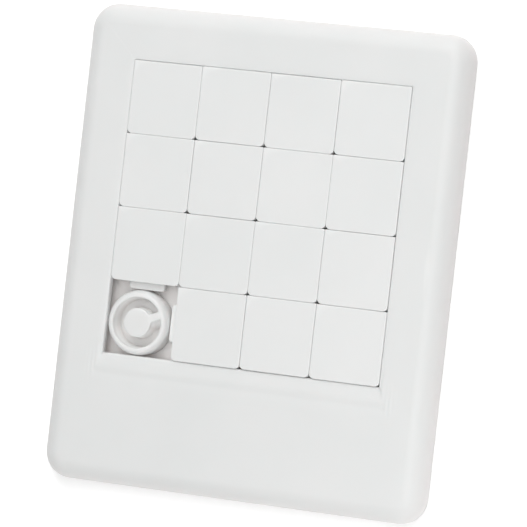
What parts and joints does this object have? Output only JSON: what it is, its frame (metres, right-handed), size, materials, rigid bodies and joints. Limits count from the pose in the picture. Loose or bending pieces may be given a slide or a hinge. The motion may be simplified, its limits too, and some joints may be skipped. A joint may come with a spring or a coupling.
{
  "type": "sliding tile puzzle",
  "caption": "Blank sliding tile puzzle: moulded tray with a wide lower margin, square interlocking tiles and a round locking plug in the empty cell.",
  "frame": {"origin": "middle of the tray's footprint, on the surface that the puzzle lies on", "axes": "+Z out of the tiles' faces, +Y towards the top row of tiles, away from the wide margin, +X to the right"},
  "size_m": [0.066, 0.0784, 0.0044],
  "materials": {
    "tray_plastic": "moulded ABS, satin gloss, cool white",
    "tile_plastic": "moulded ABS, satin gloss, cool white",
    "plug_plastic": "moulded ABS, satin gloss, slightly brighter white"
  },
  "bodies": {
    "tray": {"tray": "tray_plastic", "tile_r1_c1": "tile_plastic", "tile_r1_c2": "tile_plastic", "tile_r1_c3": "tile_plastic", "tile_r1_c4": "tile_plastic", "tile_r2_c1": "tile_plastic", "tile_r2_c2": "tile_plastic", "tile_r2_c3": "tile_plastic", "tile_r2_c4": "tile_plastic", "tile_r3_c1": "tile_plastic", "tile_r3_c2": "tile_plastic", "tile_r3_c3": "tile_plastic", "tile_r3_c4": "tile_plastic"},
    "plug": {"locking_plug": "plug_plastic"},
    "tile_r4_c2": {"tile_r4_c2": "tile_plastic"},
    "tile_r4_c3": {"tile_r4_c3": "tile_plastic"},
    "tile_r4_c4": {"tile_r4_c4": "tile_plastic"}
  },
  "joints": [
    {"name": "plug_lift", "type": "slide", "parent": "tray", "child": "plug", "axis": [0, 0, 1], "range_m": [0, 0.048]},
    {"name": "r4_c2_slide", "type": "slide", "parent": "tray", "child": "tile_r4_c2", "axis": [-1, 0, 0], "range_m": [0, 0.012]},
    {"name": "r4_c3_slide", "type": "slide", "parent": "tray", "child": "tile_r4_c3", "axis": [-1, 0, 0], "range_m": [0, 0.012]},
    {"name": "r4_c4_slide", "type": "slide", "parent": "tray", "child": "tile_r4_c4", "axis": [-1, 0, 0], "range_m": [0, 0.012]}
  ],
  "couplings": [
    {"joint": "r4_c2_slide", "follows": "plug_lift", "ratio": 0.25},
    {"joint": "r4_c3_slide", "follows": "plug_lift", "ratio": 0.25},
    {"joint": "r4_c4_slide", "follows": "plug_lift", "ratio": 0.25}
  ]
}
